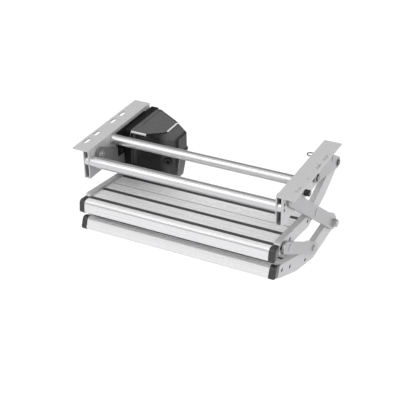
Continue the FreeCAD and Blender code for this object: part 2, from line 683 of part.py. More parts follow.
def motor_plate():
    """The steel plate that carries the gear motor, bolted to the left rail's inner wall."""
    x0 = -INNER
    x1 = -INNER + MOTOR_PLATE_THICK
    front, rear = FRONT + MOTOR_PLATE_FRONT, FRONT + MOTOR_PLATE_REAR
    shape = plate([(*main_pivot, MOTOR_PLATE_NOSE_R), (*at(MOTOR_PLATE_TAIL_AT), MOTOR_PLATE_TAIL_R)], x0, x1)
    shape = shape.fuse(box(x0, x1, front, rear, MOTOR_PLATE_BOTTOM, MOTOR_PLATE_TOP)).removeSplitter()
    holes = [(main_pivot, MAIN_PIN_R + PIN_FIT), (rear_pivot, MAIN_PIN_R + PIN_FIT)]
    holes += [(place, PLATE_SCREW_R + PIN_FIT) for place in plate_screw_places()]
    return drilled(shape, holes, x0, x1)


def plate_screw_places():
    inset = PLATE_SCREW_INSET
    y0, y1 = FRONT + MOTOR_PLATE_FRONT + inset, FRONT + MOTOR_PLATE_REAR - inset
    z0, z1 = MOTOR_PLATE_BOTTOM + inset, MOTOR_PLATE_TOP - PLATE_SCREW_DROP
    return [(y0, z0), (y0, z1), (y1, z0), (y1, z1)]


def rounded_wire(corners, radii, z):
    """A closed level outline through corners (x, y), each rounded by its radius."""
    edges = []
    points = []
    for index, (x, y) in enumerate(corners):
        corner = V(x, y, z)
        before = V(*corners[index - 1], z) - corner
        after = V(*corners[(index + 1) % len(corners)], z) - corner
        before.normalize()
        after.normalize()
        turn = math.pi - before.getAngle(after)
        cut = radii[index] * math.tan(turn / 2)
        start = corner + before * cut
        end = corner + after * cut
        if radii[index] > 0:
            inwards = (before + after).normalize()
            middle = corner + inwards * (radii[index] / math.cos(turn / 2) - radii[index])
            edges.append(Part.Arc(start, middle, end).toShape())
        points.append((start, end))
    for index, (start, end) in enumerate(points):
        edges.append(Part.LineSegment(end, points[(index + 1) % len(points)][0]).toShape())
    return Part.Wire(Part.__sortEdges__(edges))


def housing_outline(z, reach, side_end, rear_end, inset):
    """The housing seen from above at one height: square to the rail, bevelled outside."""
    side = SEAM + reach - inset
    front, rear = FRONT + HOUSING_FRONT + inset, FRONT + rear_end - inset
    corners = [(SEAM, front), (SEAM + COVER_FRONT_FACE, front), (side, front + COVER_FRONT_BEVEL),
               (side, FRONT + side_end - inset), (SEAM + COVER_REAR_FACE, rear), (SEAM, rear)]
    radius = COVER_CORNER_R - inset
    return rounded_wire(corners, (0, radius, radius, radius, radius, 0), z)


def cover_body(inset):
    """The cover as a full solid: a crowned upper part on a tapered lower one."""
    top = HOUSING_TOP - inset
    shoulder = (COVER_REACH, COVER_SIDE, HOUSING_REAR, inset)
    step = (COVER_REACH + COVER_LIP, COVER_SIDE + COVER_LIP, HOUSING_REAR, inset)
    foot = (COVER_REACH_BOTTOM, COVER_SIDE_BOTTOM, HOUSING_REAR, inset)
    lower = Part.makeLoft([housing_outline(HOUSING_BOTTOM + inset, *foot),
                           housing_outline(COVER_LIP_AT - inset, *step)], True, True)
    waist = Part.makeLoft([housing_outline(COVER_LIP_AT - inset, *shoulder),
                           housing_outline(top - COVER_SHOULDER, *shoulder)], True, True)
    rear_top = HOUSING_REAR - COVER_REAR_DRAFT
    crown = Part.makeLoft([housing_outline(top - COVER_SHOULDER, *shoulder),
                           housing_outline(top, COVER_REACH_TOP, COVER_SIDE_TOP, rear_top, inset)],
                          True, True)
    return lower.fuse(waist).fuse(crown).removeSplitter()


def bevel_point(share, z):
    """A place on the lower cover's bevelled front corner, from the flat front wall outwards."""
    lean = (COVER_LIP_AT - z) / (COVER_LIP_AT - HOUSING_BOTTOM)
    reach = (COVER_REACH + COVER_LIP) * (1 - lean) + COVER_REACH_BOTTOM * lean
    return V(SEAM + COVER_FRONT_FACE + share * (reach - COVER_FRONT_FACE),
             FRONT + HOUSING_FRONT + share * COVER_FRONT_BEVEL, z)


def grommet_seat():
    """The middle of the grommet on the cover's face, and the face's outward direction."""
    place = bevel_point(GROMMET_SHARE, GROMMET_HEIGHT)
    along = bevel_point(1, GROMMET_HEIGHT) - bevel_point(0, GROMMET_HEIGHT)
    up = bevel_point(GROMMET_SHARE, GROMMET_HEIGHT + 1) - place
    return place, along.cross(up).normalize()


def motor_cover():
    """The moulded outer half, open towards the rail."""
    cover = cover_body(0)
    top_edges = [edge for edge in cover.Edges
                 if all(abs(vertex.Z - HOUSING_TOP) < 1e-6 for vertex in edge.Vertexes)
                 and edge.BoundBox.XMax > SEAM + 1]
    cover = cover.makeFillet(COVER_TOP_ROUND, top_edges)
    cover = cover.cut(cover_body(HOUSING_WALL))
    place, out = grommet_seat()
    hole = Part.makeCylinder(GROMMET_R, 4 * HOUSING_WALL, place - out * 3 * HOUSING_WALL, out)
    return cover.cut(hole)


def motor_base():
    """The moulded inner half: a flange against the motor plate and a rim up to the seam."""
    x0 = -INNER + MOTOR_PLATE_THICK
    x1 = x0 + BASE_FLANGE_THICK
    front, rear = FRONT + HOUSING_FRONT, FRONT + HOUSING_REAR
    flange = box(x0, x1, FRONT + MOTOR_PLATE_FRONT, FRONT + MOTOR_PLATE_REAR,
                 MOTOR_PLATE_BOTTOM, MOTOR_PLATE_TOP)
    flange = flange.fuse(box(x0, x1, front, rear, HOUSING_BOTTOM, HOUSING_TOP))
    rim = box(x1, SEAM, front, rear, HOUSING_BOTTOM, HOUSING_TOP)
    rim = rim.cut(box(x1, SEAM, front + HOUSING_WALL, rear - HOUSING_WALL,
                      HOUSING_BOTTOM + HOUSING_WALL, HOUSING_TOP - HOUSING_WALL))
    base = flange.fuse(rim).removeSplitter()
    holes = [(rear_pivot, GEARBOX_R + PIN_FIT)]
    holes += [(place, PLATE_SCREW_R + PIN_FIT) for place in plate_screw_places()]
    return drilled(base, holes, x0, x1)


def gear_motor():
    """The sealed gear motor: a gearbox round the output shaft and a motor beside it."""
    x0 = -INNER + MOTOR_PLATE_THICK
    x1 = x0 + GEARBOX_DEPTH
    axis = (rear_pivot[0] + MOTOR_SHIFT[0], rear_pivot[1] + MOTOR_SHIFT[1])
    gearbox = cylinder(GEARBOX_R, x0, x1, rear_pivot)
    step = x0 + BASE_FLANGE_THICK + PIN_FIT
    body = plate([(*axis, MOTOR_R + MOTOR_SHELL), (*rear_pivot, GEARBOX_R)], step, x1)
    motor = cylinder(MOTOR_R, x1, x1 + MOTOR_LENGTH, axis)
    motor = motor.makeFillet(MOTOR_SHELL, rim(motor, x1 + MOTOR_LENGTH))
    shape = gearbox.fuse(body).fuse(motor).removeSplitter()
    return shape.cut(cylinder(MAIN_PIN_R + PIN_FIT, x0, x0 + SHAFT_DEPTH, rear_pivot))


def plate_screw(place):
    x1 = -INNER + MOTOR_PLATE_THICK + BASE_FLANGE_THICK
    shank = cylinder(PLATE_SCREW_R, -INNER, x1, place)
    head = cylinder(PLATE_SCREW_HEAD_R, x1, x1 + PLATE_SCREW_R, place)
    return shank.fuse(head).removeSplitter()


def cable_grommet():
    """The round rubber grommet in the cover's bevelled front corner."""
    place, out = grommet_seat()
    neck = Part.makeCylinder(GROMMET_R - PIN_FIT, HOUSING_WALL + PIN_FIT, place - out * HOUSING_WALL, out)
    head = Part.makeCylinder(GROMMET_HEAD_R, GROMMET_HEAD, place + out * PIN_FIT, out)
    edges = [edge for edge in head.Edges
             if all((vertex.Point - place).dot(out) > GROMMET_HEAD for vertex in edge.Vertexes)]
    head = head.makeFillet(GROMMET_HEAD / 2, edges)
    dimple = Part.makeCylinder(GROMMET_BORE, GROMMET_HEAD, place + out * GROMMET_HEAD / 2, out)
    return head.fuse(neck).removeSplitter().cut(dimple)


# Stops and the cable eye

def bumper_stud():
    place = (FRONT + BUMPER_AT, bumper_height())
    washer = cylinder(STUD_WASHER_R, OUTER, OUTER + STUD_WASHER, place)
    shank = cylinder(STUD_R, OUTER - RAIL_WALL, OUTER + STUD_WASHER + BUMPER_LENGTH / 2, place)
    return washer.fuse(shank).removeSplitter()


def bumper():
    place = (FRONT + BUMPER_AT, bumper_height())
    x0 = OUTER + STUD_WASHER
    rubber = cylinder(BUMPER_R, x0, x0 + BUMPER_LENGTH, place)
    rubber = rubber.makeFillet(BUMPER_ROUND, rim(rubber, x0 + BUMPER_LENGTH))
    return rubber.cut(cylinder(STUD_R + PIN_FIT, x0, x0 + BUMPER_LENGTH / 2, place))


def cable_eye():
    """A wire eye on the right rail's inner wall, for the motor's cable."""
    y, z = at(EYE_AT)
    x = INNER - EYE_REACH
    ring = Part.makeTorus(EYE_R, EYE_WIRE_R, V(x, y, z), V(0, 0, 1))
    shank = cylinder(EYE_WIRE_R, x + EYE_R, INNER, (y, z))
    foot = cylinder(EYE_FOOT_R, INNER - EYE_FOOT, INNER, (y, z))
    return ring.fuse(shank).fuse(foot).removeSplitter()


def build():
    rail = right_rail()
    save("right_rail", rail)
    save("left_rail", mirrored(rail))
    save("front_cross_tube", cross_tube(FRONT_TUBE_OD, FRONT_TUBE_AT))
    save("rear_cross_tube", cross_tube(REAR_TUBE_OD, REAR_TUBE_AT))
    screws = []
    for tube in (FRONT_TUBE_AT, REAR_TUBE_AT):
        for place in tube_screw_places(tube):
            screws += both(tube_screw(place))
    save("tube_screws", screws)

    left_face = INNER - MOTOR_PLATE_THICK
    pin_end = left_face - NUT_THICK - PIN_PROUD
    save("main_pivot_pins", both(riveted_pin(main_pivot, MAIN_PIN_R, pin_end, LINK_OUT)))
    save("main_pivot_nuts", [hex_nut(main_pivot, NUT_R, MAIN_PIN_R, INNER - NUT_THICK, INNER),
                             mirrored(hex_nut(main_pivot, NUT_R, MAIN_PIN_R,
                                              left_face - NUT_THICK, left_face))])
    rear_pin_end = INNER - NUT_THICK - PIN_PROUD
    save("rear_pivot_pin", headed_pin(rear_pivot, MAIN_PIN_R, rear_pin_end, LINK_OUT))
    save("rear_pivot_nut", hex_nut(rear_pivot, NUT_R, MAIN_PIN_R, INNER - NUT_THICK, INNER))
    save("bumper_studs", both(bumper_stud()))
    save("stop_bumpers", both(bumper()))
    save("cable_eye", cable_eye())

    save("motor_plate", motor_plate())
    save("motor_base", motor_base())
    save("motor_cover", motor_cover())
    save("gear_motor", gear_motor())
    save("cable_grommet", cable_grommet())
    save("motor_plate_screws", [plate_screw(place) for place in plate_screw_places()])

    arm = right_main_arm()
    save("right_main_arm", arm)
    save("left_main_arm", mirrored(arm))
    save("main_arm_bushes", both(bush(main_pivot, MAIN_PIN_R, LINK_IN, LINK_OUT)))
    save("upper_pivot_pins", both(riveted_pin(upper_pivot, MAIN_PIN_R, STEP_SIDE, LINK_OUT)))
    save("lower_pivot_pins", both(headed_pin(lower_pivot, MAIN_PIN_R, STEP_SIDE, LINK_OUT,
                                             LOWER_PIN_HEAD_TO_PIN, LOWER_PIN_HEAD_THICK)))

    upper = (UPPER_TREAD_AT, UPPER_TILT)
    upper_arm = right_side_arm(upper_arm_blank(), *upper, UPPER_SCREWS, UPPER_SCREW_DROP,
                               [(upper_pivot, MAIN_PIN_R), (rear_pin, LINK_PIN_R),
                                (link_front, LINK_PIN_R - BUSH_WALL)])
    save("upper_tread", tread(*upper, UPPER_SCREWS, UPPER_SCREW_DROP))
    save("upper_right_side_arm", upper_arm)
    save("upper_left_side_arm", mirrored(upper_arm))
    cap = right_end_cap(*upper)
    save("upper_right_end_cap", cap)
    save("upper_left_end_cap", mirrored(cap))
    save("upper_grip_strips", grip_strips(*upper))
    save("upper_side_screws", [s for place in side_screw_places(*upper, UPPER_SCREWS, UPPER_SCREW_DROP)
                               for s in both(side_screw(place))])
    save("upper_arm_bushes", both(bush(upper_pivot, MAIN_PIN_R, STEP_SIDE, ARM_OUT)))
    save("upper_rear_bushes", both(bush(rear_pin, LINK_PIN_R, STEP_SIDE, ARM_OUT)))
    save("link_pivot_pins", both(riveted_pin(link_front, LINK_PIN_R, STEP_SIDE, LINK_OUT)))

    lower = (LOWER_TREAD_AT, LOWER_TILT)
    lower_arm = right_side_arm(lower_arm_blank(), *lower, LOWER_SCREWS, LOWER_SCREW_DROP,
                               [(lower_pivot, MAIN_PIN_R), (link_rear, LINK_PIN_R)])
    save("lower_tread", tread(*lower, LOWER_SCREWS, LOWER_SCREW_DROP))
    save("lower_right_side_arm", lower_arm)
    save("lower_left_side_arm", mirrored(lower_arm))
    cap = right_end_cap(*lower)
    save("lower_right_end_cap", cap)
    save("lower_left_end_cap", mirrored(cap))
    save("lower_grip_strips", grip_strips(*lower))
    save("lower_side_screws", [s for place in side_screw_places(*lower, LOWER_SCREWS, LOWER_SCREW_DROP)
                               for s in both(side_screw(place))])
    save("lower_arm_bushes", both(bush(lower_pivot, MAIN_PIN_R, STEP_SIDE, ARM_OUT)))
    save("lower_link_bushes", both(bush(link_rear, LINK_PIN_R, STEP_SIDE, ARM_OUT)))

    link = right_lower_link()
    save("right_lower_link", link)
    save("left_lower_link", mirrored(link))
    save("lower_link_bolts", both(headed_pin(link_rear, LINK_PIN_R, LINK_IN, LINK_OUT)))

    link = right_rear_link()
    save("right_rear_link", link)
    save("left_rear_link", mirrored(link))
    save("rear_link_bolts", both(headed_pin(rear_pin, LINK_PIN_R, LINK_IN, LINK_OUT)))
    shaft_end = INNER - MOTOR_PLATE_THICK - SHAFT_DEPTH
    save("output_shaft", mirrored(headed_pin(rear_pivot, MAIN_PIN_R, shaft_end, LINK_OUT)))


build()
for label, value in (("main pivot", main_pivot), ("upper pivot", upper_pivot), ("lower pivot", lower_pivot),
                     ("rear pivot", rear_pivot), ("rear pin", rear_pin), ("link front", link_front),
                     ("link rear", link_rear)):
    print(label, round(value[0], 4), round(value[1], 4))
print("rear link swing", round(rear_link_swing, 4), "lower link swing", round(lower_link_swing, 4))
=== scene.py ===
import json
import math

import bmesh
import bpy
from mathutils import Matrix, Vector
from mathutils.geometry import convex_hull_2d


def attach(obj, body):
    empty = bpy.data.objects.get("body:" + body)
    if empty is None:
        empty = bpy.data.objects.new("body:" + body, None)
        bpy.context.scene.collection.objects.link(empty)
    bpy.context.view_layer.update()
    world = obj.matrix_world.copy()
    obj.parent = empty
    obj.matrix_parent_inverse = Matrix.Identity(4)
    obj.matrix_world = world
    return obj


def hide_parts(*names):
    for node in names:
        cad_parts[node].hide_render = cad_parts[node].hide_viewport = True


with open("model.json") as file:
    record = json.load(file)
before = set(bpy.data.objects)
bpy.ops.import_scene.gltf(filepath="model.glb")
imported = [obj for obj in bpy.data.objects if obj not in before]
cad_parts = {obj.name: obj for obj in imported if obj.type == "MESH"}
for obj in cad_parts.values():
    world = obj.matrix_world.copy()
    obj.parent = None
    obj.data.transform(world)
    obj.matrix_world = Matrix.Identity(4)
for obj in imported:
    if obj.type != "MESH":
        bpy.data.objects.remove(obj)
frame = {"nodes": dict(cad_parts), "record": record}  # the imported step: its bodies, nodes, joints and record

# A double entry step for a caravan, stowed under the floor, dressed over its frame.
# Lengths are in metres: X to the right, Y to the rear, Z up.

scene = bpy.context.scene
nodes = frame["nodes"]
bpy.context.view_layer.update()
sideways = Vector((1, 0, 0))


# Node trees

class Wire:  # a socket of a tree; arithmetic on it adds Math nodes
    def __init__(self, tree, socket):
        self.tree = tree
        self.socket = socket

    def __add__(self, other):
        return self.tree.math("ADD", self, other)

    def __radd__(self, other):
        return self.tree.math("ADD", other, self)

    def __sub__(self, other):
        return self.tree.math("SUBTRACT", self, other)

    def __rsub__(self, other):
        return self.tree.math("SUBTRACT", other, self)

    def __mul__(self, other):
        return self.tree.math("MULTIPLY", self, other)

    def __rmul__(self, other):
        return self.tree.math("MULTIPLY", other, self)


class Tree:
    def __init__(self, nodeTree):
        self.nodeTree = nodeTree
        nodeTree.nodes.clear()

    def node(self, kind, settings=None, values=None, output=0):
        made = self.nodeTree.nodes.new(kind)
        for name, value in (settings or {}).items():
            if name == "stops":  # a ramp's places and greys
                for stop, (place, grey) in zip(made.color_ramp.elements, value):
                    stop.position = place
                    stop.color = (grey, grey, grey, 1)
            else:
                setattr(made, name, value)
        for name, value in (values or {}).items():
            if isinstance(value, Wire):
                self.nodeTree.links.new(value.socket, made.inputs[name])
            else:
                made.inputs[name].default_value = value
        return Wire(self, made.outputs[output] if made.outputs else None)

    def math(self, operation, first, second):
        return self.node("ShaderNodeMath", {"operation": operation}, {0: first, 1: second})


class Finish(Tree):  # a material and its tree
    def __init__(self, name):
        self.material = bpy.data.materials.new(name)
        self.material.use_nodes = True
        super().__init__(self.material.node_tree)
        self.place = self.node("ShaderNodeTexCoord", output="Object")

    def stretched(self, scale):
        return self.node("ShaderNodeMapping", {}, {"Vector": self.place, "Scale": scale})

    def noise(self, scale, detail=2.0, roughness=0.5, at=None):
        return self.node("ShaderNodeTexNoise", {}, {
            "Vector": at or self.place, "Scale": scale, "Detail": detail, "Roughness": roughness})

    def cells(self, scale):
        return self.node("ShaderNodeTexVoronoi", {}, {"Vector": self.place, "Scale": scale})

    def ramp(self, factor, low=0.0, high=1.0):  # nothing below low, everything above high
        stops = ((low, 0.0), (high, 1.0))
        return self.node("ShaderNodeValToRGB", {"stops": stops}, {"Fac": factor})

    def mix(self, factor, first, second):
        return self.node("ShaderNodeMix", {"data_type": "RGBA"}, {
            0: factor, 6: first, 7: second}, 2)

    def bump(self, height, distance, strength=1.0):
        return self.node("ShaderNodeBump", {}, {
            "Strength": strength, "Distance": distance, "Height": height})

    def surface(self, **values):
        names = {name: name.replace("_", " ") for name in values}  # Base_Color is Base Color
        shader = self.node("ShaderNodeBsdfPrincipled", {}, {names[n]: v for n, v in values.items()})
        self.node("ShaderNodeOutputMaterial", {}, {"Surface": shader})
        return self.material


class Pattern(Tree):  # a geometry tree with named inputs, run once into a plain mesh
    def __init__(self, name):
        super().__init__(bpy.data.node_groups.new(name, "GeometryNodeTree"))
        self.name = name
        self.start = self.nodeTree.nodes.new("NodeGroupInput")
        self.values = {}

    def ask(self, name, kind, value):
        made = self.nodeTree.interface.new_socket(
            name, in_out="INPUT", socket_type="NodeSocket" + kind)
        if value is not None:  # the host's own mesh needs none
            self.values[made.identifier] = value
        return Wire(self, next(s for s in self.start.outputs if s.identifier == made.identifier))

    def vector(self, x=0.0, y=0.0, z=0.0):
        return self.node("ShaderNodeCombineXYZ", {}, {"X": x, "Y": y, "Z": z})

    def grow(self, geometry, material, host=None):
        real = self.node("GeometryNodeRealizeInstances", {}, {"Geometry": geometry})
        painted = self.node("GeometryNodeSetMaterial", {}, {"Geometry": real, "Material": material})
        self.nodeTree.interface.new_socket(
            "Geometry", in_out="OUTPUT", socket_type="NodeSocketGeometry")
        end = self.nodeTree.nodes.new("NodeGroupOutput")
        self.nodeTree.links.new(painted.socket, end.inputs[0])
        grower = newPiece(self.name + "Grower", host or bpy.data.meshes.new(self.name))
        modifier = grower.modifiers.new(self.name, "NODES")
        modifier.node_group = self.nodeTree
        for identifier, value in self.values.items():
            modifier[identifier] = value
        ready = grower.evaluated_get(bpy.context.evaluated_depsgraph_get())
        mesh = bpy.data.meshes.new_from_object(ready)
        grower.modifiers.remove(modifier)
        bpy.data.objects.remove(grower)
        return mesh


def newPiece(name, mesh):
    made = bpy.data.objects.new(name, mesh)
    scene.collection.objects.link(made)
    return made


def addPiece(name, mesh, body, slotName, *stoodFor):
    made = newPiece(name, mesh)
    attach(made, body)
    if stoodFor:
        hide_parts(*stoodFor)
    return made


# Finishes

def linedMetal(name, look):  # extruded, brushed or turned metal, with fine lines
    tree = Finish(name)
    lines = tree.noise(1.0, 3.0, 0.6, tree.stretched(look["lines"]))
    cloud = tree.noise(look["cloudScale"], 2.0)
    speck = tree.noise(look["speckScale"], 1.0)
    handled = tree.noise(look["cloudScale"] * look["rubScale"], 4.0, 0.7)
    rubbed = tree.ramp(handled, *look["rubRange"])
    shade = lines * look["lineShade"] + cloud * (1 - look["lineShade"])
    colour = tree.mix(shade, look["dark"], look["light"])
    rough = look["roughness"] + (lines - 0.5) * look["roughSwing"] + rubbed * look["rubbed"]
    height = lines * look["lineDepth"] + speck * look["speckDepth"]
    return tree.surface(Base_Color=colour, Metallic=look["metal"], Roughness=rough,
                        Normal=tree.bump(height, look["bumpDepth"]))


def dusted(tree, flow, colour, rough, dust):
    # painted sheen: the flat top and the bevelled corner are painted a lighter, patchy grey that stands for
    # reflected light
    across = tree.node("ShaderNodeSeparateXYZ", {}, {"Vector": tree.place}, 0)
    height = tree.node("ShaderNodeSeparateXYZ", {}, {"Vector": tree.place}, 2)
    topSheen = tree.ramp((height - dust["above"]) * dust["topRate"])
    cornerSheen = tree.ramp((across - dust["cornerFrom"]) * dust["cornerRate"])
    beyond = tree.ramp((across - dust["cornerTo"]) * dust["fadeRate"])
    sheenAmount = tree.math("MAXIMUM", topSheen, cornerSheen * (dust["cornerShare"] - dust["fadedShare"] * beyond))
    patchy = sheenAmount * (dust["patchLow"] + dust["patchSwing"] * flow)
    return tree.mix(patchy, colour, dust["colour"]), rough + sheenAmount * dust["rough"]


def gloss(name, look):  # smooth plastic or rubber, with a faint flow and fine scuffs
    tree = Finish(name)
    flow = tree.noise(look["flowScale"], 2.0)
    scuff = tree.ramp(tree.noise(look["scuffScale"], 5.0, 0.75), *look["scuffRange"])
    colour = tree.mix(scuff * look["scuffShade"], look["colour"], look["dusty"])
    rough = look["roughness"] + scuff * look["scuff"]
    # where the look asks for it, a painted sheen greys part of the surface
    if "dust" in look:
        colour, rough = dusted(tree, flow, colour, rough, look["dust"])
    return tree.surface(Base_Color=colour, Roughness=rough, Specular_IOR_Level=look["shine"],
                        Normal=tree.bump(flow, look["flowDepth"], look["flowStrength"]))


def grained(name, look):  # plastic, rubber or powder coat with an even grain
    tree = Finish(name)
    grain = tree.cells(look["grainScale"])
    cloud = tree.noise(look["cloudScale"], 3.0)
    fine = tree.noise(look["grainScale"] * look["fineScale"], 2.0)
    share = look["grainShade"]
    colour = tree.mix(cloud * (1 - share) + grain * share, look["colour"], look["dusty"])
    rough = look["roughness"] + (cloud - 0.5) * look["roughSwing"]
    height = grain * (1 - look["fineDepth"]) + fine * look["fineDepth"]
    return tree.surface(Base_Color=colour, Metallic=look["metal"], Roughness=rough,
                        Specular_IOR_Level=look["shine"],
                        Normal=tree.bump(height, look["grainDepth"], look["grainStrength"]))


def grey(value):  # a little cool
    return (value, value, value * 1.01, 1.0)


def metalLook(light, dark, **changes):
    look = {"light": grey(light), "dark": grey(dark), "metal": 0.75, "roughness": 0.36,
            "roughSwing": 0.16, "rubbed": 0.07, "rubScale": 3.1, "rubRange": (0.56, 0.72),
            "lines": (500, 500, 500), "lineShade": 0.6, "lineDepth": 0.35, "bumpDepth": 0.0004,
            "speckScale": 1500, "speckDepth": 0.08, "cloudScale": 22}
    look.update(changes)
    return look


def glossLook(colour, dusty, **changes):
    look = {"colour": grey(colour), "dusty": grey(dusty), "roughness": 0.18, "scuff": 0.10,
            "scuffScale": 120, "scuffRange": (0.58, 0.74), "scuffShade": 0.35, "shine": 0.5,
            "flowScale": 90, "flowDepth": 0.0002, "flowStrength": 0.5}
    look.update(changes)
    return look


def grainLook(colour, dusty, **changes):
    look = {"colour": grey(colour), "dusty": grey(dusty), "metal": 0.0, "roughness": 0.5,
            "shine": 0.3, "roughSwing": 0.15, "cloudScale": 30, "grainShade": 0.3,
            "grainScale": 1400, "grainDepth": 0.0003, "grainStrength": 0.6,
            "fineScale": 1.7, "fineDepth": 0.3}
    look.update(changes)
    return look


# painted sheen on the cover: its flat top and bevelled corner are painted a lighter grey that stands for
# reflected light
coverSheen = {
    "colour": grey(0.058),
    "above": -0.0095,        # only the cover's flat top is higher than this
    "topRate": 1000,
    "cornerFrom": -0.125,      # across, from here the bevelled corner grows greyer
    "cornerRate": 60,
    "cornerTo": -0.094,        # and beyond here it fades again
    "fadeRate": 200,
    "cornerShare": 0.95,
    "fadedShare": 0.85,
    "patchLow": 0.75,
    "patchSwing": 0.5,
    "rough": 0.05,
}
finishes = {
    "rail_aluminium": linedMetal("railAluminium", metalLook(
        0.51, 0.44, lines=(900, 9, 900), roughness=0.44, metal=0.5)),
    "tube_aluminium": linedMetal("tubeAluminium", metalLook(
        0.64, 0.58, lines=(7, 700, 700), roughness=0.23, metal=0.95, rubbed=0.04)),
    "link_aluminium": linedMetal("linkAluminium", metalLook(
        0.44, 0.34, lines=(900, 60, 900), roughness=0.36, metal=0.85)),
    "side_arm_aluminium": linedMetal("sideArmAluminium", metalLook(
        0.50, 0.38, lines=(700, 700, 700), roughness=0.34, speckDepth=0.25, metal=0.55)),
    "tread_aluminium": linedMetal("treadAluminium", metalLook(
        0.61, 0.56, lines=(8, 900, 900), lineDepth=0.12, roughness=0.28, metal=0.22)),
    "fastener_steel": linedMetal("zincSteel", metalLook(
        0.56, 0.42, lines=(900, 900, 900), roughness=0.34, metal=0.95)),
    "motor_casting": linedMetal("motorCasting", metalLook(
        0.46, 0.36, lines=(300, 300, 300), roughness=0.55, speckDepth=0.6)),
    "cap_plastic": gloss("capPlastic", glossLook(
        0.018, 0.036, roughness=0.20, scuff=0.12, scuffScale=180, shine=0.60, flowScale=160)),
    "grip_rubber": grained("gripRubber", grainLook(0.030, 0.055, roughness=0.62)),
    "bumper_rubber": gloss("bumperRubber", glossLook(
        0.022, 0.045, roughness=0.20, scuff=0.15, scuffScale=260, shine=0.6, flowScale=220)),
    "bush_plastic": grained("bushPlastic", grainLook(0.05, 0.09, roughness=0.45)),
    "painted_steel": grained("powderCoat", grainLook(
        0.10, 0.16, roughness=0.48, grainScale=700, grainDepth=0.0005)),
    "housing_plastic": gloss("housingPlastic", glossLook(
        0.009, 0.018, scuff=0.12, shine=0.22, dust=coverSheen)),
}
darkScrewSteel = linedMetal("blackenedSteel", metalLook(
    0.07, 0.04, lines=(900, 900, 900), roughness=0.38, metal=0.85))
pivotSteel = linedMetal("pivotSteel", metalLook(
    0.24, 0.15, lines=(900, 900, 900), roughness=0.36, metal=0.9))
# painted shade: the nose's line is darker metal that stands for the darker band the rounding reflects
noseShadeMetal = linedMetal("rolledLine", metalLook(
    0.44, 0.36, lines=(8, 900, 900), roughness=0.40, metal=0.4))
# painted highlight and painted glint: light greys on the cover's edges that stand for lamps reflected there
polishedEdge = gloss("polishedEdge", glossLook(
    0.42, 0.30, roughness=0.16, scuffScale=140, shine=0.8))
wornEdge = gloss("wornEdge", glossLook(0.17, 0.11, roughness=0.26, scuffScale=140))
edgeGloss = gloss("edgeGloss", glossLook(0.02, 0.03, roughness=0.12, scuff=0.08, shine=1.0))
deepPlastic = grained("deepPlastic", grainLook(
    0.004, 0.010, roughness=0.62, grainScale=500, grainDepth=0.0006, shine=0.12))

ownFinish = {  # pieces that don't look like the others in their slot
    "motor_base": deepPlastic,
    "cable_grommet": deepPlastic,
    "cable_eye": pivotSteel,
    "rear_pivot_nut": pivotSteel,
    "rear_link_bolts": pivotSteel,
    "rear_pivot_pin": pivotSteel,
}
for subpart in frame["record"]["subparts"]:
    finish = ownFinish.get(subpart["node"], finishes[subpart["material_slot"]])
    for place in nodes[subpart["node"]].material_slots:
        place.material = finish


# Reading places from the frame

near = {"weld": 1e-6, "level": 1e-5}  # corners this close are one corner, or at one level


def solidsOf(node):  # the corners of each separate solid of a node
    tool = bmesh.new()
    tool.from_mesh(nodes[node].data)
    bmesh.ops.remove_doubles(tool, verts=tool.verts, dist=near["weld"])
    seen = set()
    solids = []
    for first in tool.verts:  # in the mesh's own order, so that each run gives the same
        if first in seen:
            continue
        seen.add(first)
        edge = [first]
        corners = []
        while edge:
            corner = edge.pop()
            corners.append(corner.co.copy())
            for link in corner.link_edges:
                other = link.other_vert(corner)
                if other not in seen:
                    seen.add(other)
                    edge.append(other)
        solids.append(corners)
    tool.free()
    return solids


def spanOf(corners):
    low = Vector([min(c[i] for c in corners) for i in range(3)])
    high = Vector([max(c[i] for c in corners) for i in range(3)])
    return low, high


def endOf(low, high, outer=True):  # an end of a piece along X, and the turn that faces it
    right = low.x + high.x > 0
    middle = (low + high) / 2
    place = high.x if right == outer else low.x
    return (place, middle.y, middle.z), (0.0, 0.0, 0.0 if right else math.pi)


class Tread:  # a tread's own axes: across, along its depth and square to its top
    def __init__(self, stepName, look):
        strips = sorted(solidsOf(stepName + "_grip_strips"), key=lambda s: spanOf(s)[0].y)
        middles = [sum(s, Vector()) / len(s) for s in strips]
        self.depthWay = (middles[-1] - middles[0]).normalized()
        self.upWay = sideways.cross(self.depthWay)
        top = max(c.dot(self.upWay) for c in strips[0]) - look["stripProud"]
        front = middles[0].dot(self.depthWay) - look["stripAt"][0]
        self.origin = self.depthWay * front + self.upWay * top
        self.halfWidth = spanOf(strips[0])[1].x

    def matrix(self):
        columns = Matrix((sideways, self.depthWay, self.upWay)).transposed().to_4x4()
        return Matrix.Translation(self.origin) @ columns


# Treads: grip ribs on the planks, ridges on the rubber strips, the seal and a line of painted shade along the
# nose

treadLook = {
    "stripAt": (0.023, 0.0765, 0.161),   # middles of the strips, from the nose
    "stripProud": 0.0006,
    "grooveAt": 0.115,       # the groove between two planks, which the seal fills
    "grooveWidth": 0.002,
    "depth": 0.196,
    "ribPitch": 0.0021,
    "ribRadius": 0.00075,
    "ribProud": 0.00014,
    "ridgePitch": 0.0023,
    "ridgeCount": 5,         # the outer two are lips that lie on the planks
    "ridgeRadius": 0.0011,
    "ridgeProud": 0.0003,
    "sealRadius": 0.0012,
    "sealProud": 0.0003,
    "lineAt": (0.0016, -0.0038),         # the painted shade line along the nose, from its front and top
    "lineRadius": 0.0020,
    "lineProud": 0.00025,
    "margin": 0.0014,        # bare along each edge of a plank
    "endGap": 0.0016,        # bare at the tread's ends
}
roundSides = {"bar": 8, "bead": 12}      # sides of the round profiles


